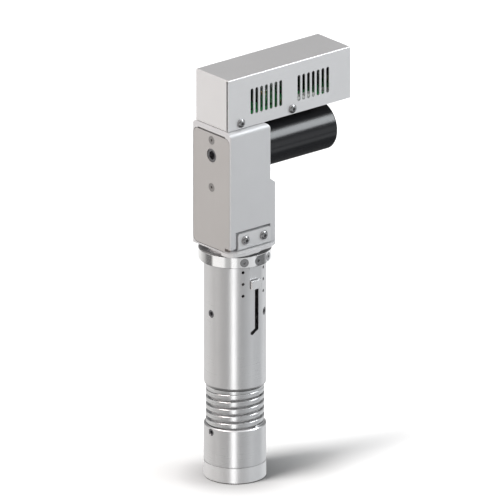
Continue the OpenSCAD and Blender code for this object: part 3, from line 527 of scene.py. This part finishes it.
BOX_TARGET = Vector((0.02, 0, 0.24))    # the point near the object's middle that the boxes face
BOX_AWAY = 1.1                   # their distance from it, in metres
KEY_BOX = {
    "direction": (-0.95, 0.05, 0.62), "width": 0.6, "height": 0.6,
    "power": 11.0, "color": (1, 0.90, 0.86),
}
FILL_BOX = {
    "direction": (0.604, -0.60, 0.50), "width": 0.5, "height": 0.42,
    "power": 7.0, "color": (0.93, 0.97, 1),
}
FLOOR_LAMP_POWER = 6.0
FLOOR_LAMP_SPREAD = math.radians(12)
FLOOR_LAMP_DIRECTION = Vector((-0.30, 0.05, 0.95))


def add_area(name, direction, width, height, power, color):
    """A soft box that faces the object's middle from a direction, in the object's frame."""
    data = bpy.data.lights.new(name, "AREA")
    data.shape = "RECTANGLE"
    data.size = width
    data.size_y = height
    data.energy = power
    data.color = color
    light = bpy.data.objects.new(name, data)
    bpy.context.scene.collection.objects.link(light)
    away = Vector(direction).normalized()
    light.location = BOX_TARGET + away * BOX_AWAY
    light.rotation_euler = away.to_track_quat("Z", "Y").to_euler()
    light.visible_camera = False


def make_floor_lamp(floor):
    """A steep lamp for the floor alone, which draws the object's shadow to its right."""
    data = bpy.data.lights.new("floor_lamp", "SUN")
    data.energy = FLOOR_LAMP_POWER
    data.angle = FLOOR_LAMP_SPREAD
    lamp = bpy.data.objects.new("floor_lamp", data)
    bpy.context.scene.collection.objects.link(lamp)
    lamp.rotation_euler = FLOOR_LAMP_DIRECTION.to_track_quat("Z", "Y").to_euler()
    lit = bpy.data.collections.new("lit_by_floor_lamp")
    lit.objects.link(floor)
    lamp.light_linking.receiver_collection = lit


def make_lights():
    """A warm soft box high on the plate's side and a cool one facing the vented side."""
    add_area("key", **KEY_BOX)
    add_area("fill", **FILL_BOX)


# Brightness of the studio's walls by azimuth, in degrees from the camera's side towards its right
WALLS = (
    (-180, 0.44), (-147, 0.58), (-122, 0.95), (-92, 1.00), (-72, 0.62), (-50, 0.40), (-26, 0.44),
    (-15, 0.50), (-10, 2.7), (-1, 2.7), (5, 0.50), (20, 0.46), (45, 0.54), (70, 0.78), (94, 0.88),
    (125, 0.75), (150, 0.50), (180, 0.44),
)
# and of a narrow line of lamps and gaps at the height that upright metal mirrors
LINE = (
    (-180, 0.90), (-140, 0.90), (-112, 0.50), (-98, 0.18), (-80, 0.18), (-72, 1.02), (-36, 1.02),
    (-28, 0.55), (-14, 0.50), (-9, 1.0), (4, 1.0), (10, 0.55), (40, 0.70), (66, 0.80), (76, 0.16),
    (102, 0.16), (112, 0.35), (122, 1.0), (180, 0.90),
)
WARMTH = 0.02                    # how much warmer the left is than the right
GROUND_LIGHT = 0.12
UPPER_LIGHT = 0.26
CEILING_LIGHT = 0.95
# Heights of a direction, from -1 straight down to 1 straight up, between which one band of the
# studio turns into the next
WALL_FOOT = (-0.62, -0.52)
LINE_FOOT = (-0.385, -0.37)
LINE_HEAD = (-0.315, -0.30)
WALL_HEAD = (-0.05, 0.12)
CEILING_FOOT = (0.48, 0.70)


def azimuth_ramp(tree, share, bands):
    """A colour ramp from brightnesses by azimuth, slightly warm on the left and cool on the right."""
    stops = []
    for azimuth, light in bands:
        warm = 1 - WARMTH * math.sin(math.radians(azimuth))
        stops.append(((azimuth + 180) / 360, (light * warm, light, light * (2 - warm))))
    ramp = tree.nodes.new("ShaderNodeValToRGB")
    fill_ramp(ramp, stops)
    tree.links.new(share, ramp.inputs["Fac"])
    return ramp.outputs["Color"]


def blend(tree, fac, low, high, below, above):
    """Mixes two colours as a value rises from low to high."""
    span = tree.nodes.new("ShaderNodeMapRange")
    span.interpolation_type = "SMOOTHSTEP"
    span.inputs["From Min"].default_value = low
    span.inputs["From Max"].default_value = high
    tree.links.new(fac, span.inputs["Value"])
    node = tree.nodes.new("ShaderNodeMix")
    node.data_type = "RGBA"
    tree.links.new(span.outputs["Result"], node.inputs["Factor"])
    for socket, value in ((node.inputs[6], below), (node.inputs[7], above)):
        if isinstance(value, float):
            socket.default_value = (value, value, value, 1)
        else:
            tree.links.new(value, socket)
    return node.outputs[2]


def make_world():
    """A studio: dark ground, grey walls with a line of lamps, a dim band above it and a pale ceiling."""
    world = bpy.data.worlds.new("studio")
    bpy.context.scene.world = world
    world.use_nodes = True
    tree = world.node_tree
    coords = tree.nodes.new("ShaderNodeTexCoord").outputs["Generated"]
    turn = tree.nodes.new("ShaderNodeVectorRotate")
    turn.rotation_type = "Z_AXIS"
    turn.inputs["Angle"].default_value = -AZIMUTH
    tree.links.new(coords, turn.inputs["Vector"])
    axes = tree.nodes.new("ShaderNodeSeparateXYZ")
    tree.links.new(turn.outputs["Vector"], axes.inputs["Vector"])
    towards = tree.nodes.new("ShaderNodeMath")
    towards.operation = "MULTIPLY"
    towards.inputs[1].default_value = -1
    tree.links.new(axes.outputs["Y"], towards.inputs[0])
    angle = tree.nodes.new("ShaderNodeMath")
    angle.operation = "ARCTAN2"
    tree.links.new(axes.outputs["X"], angle.inputs[0])
    tree.links.new(towards.outputs[0], angle.inputs[1])
    share = tree.nodes.new("ShaderNodeMapRange")
    share.inputs["From Min"].default_value = -math.pi
    share.inputs["From Max"].default_value = math.pi
    tree.links.new(angle.outputs[0], share.inputs["Value"])
    height = axes.outputs["Z"]
    walls = azimuth_ramp(tree, share.outputs["Result"], WALLS)
    line = azimuth_ramp(tree, share.outputs["Result"], LINE)
    color = GROUND_LIGHT
    for (low, high), above in (
        (WALL_FOOT, walls), (LINE_FOOT, line), (LINE_HEAD, walls),
        (WALL_HEAD, UPPER_LIGHT), (CEILING_FOOT, CEILING_LIGHT),
    ):
        color = blend(tree, height, low, high, color, above)
    tree.links.new(color, tree.nodes["Background"].inputs["Color"])
    tree.nodes["Background"].inputs["Strength"].default_value = 1.0


make_floor_lamp(make_floor())
make_lights()
make_world()
bpy.context.scene.view_settings.view_transform = "Standard"
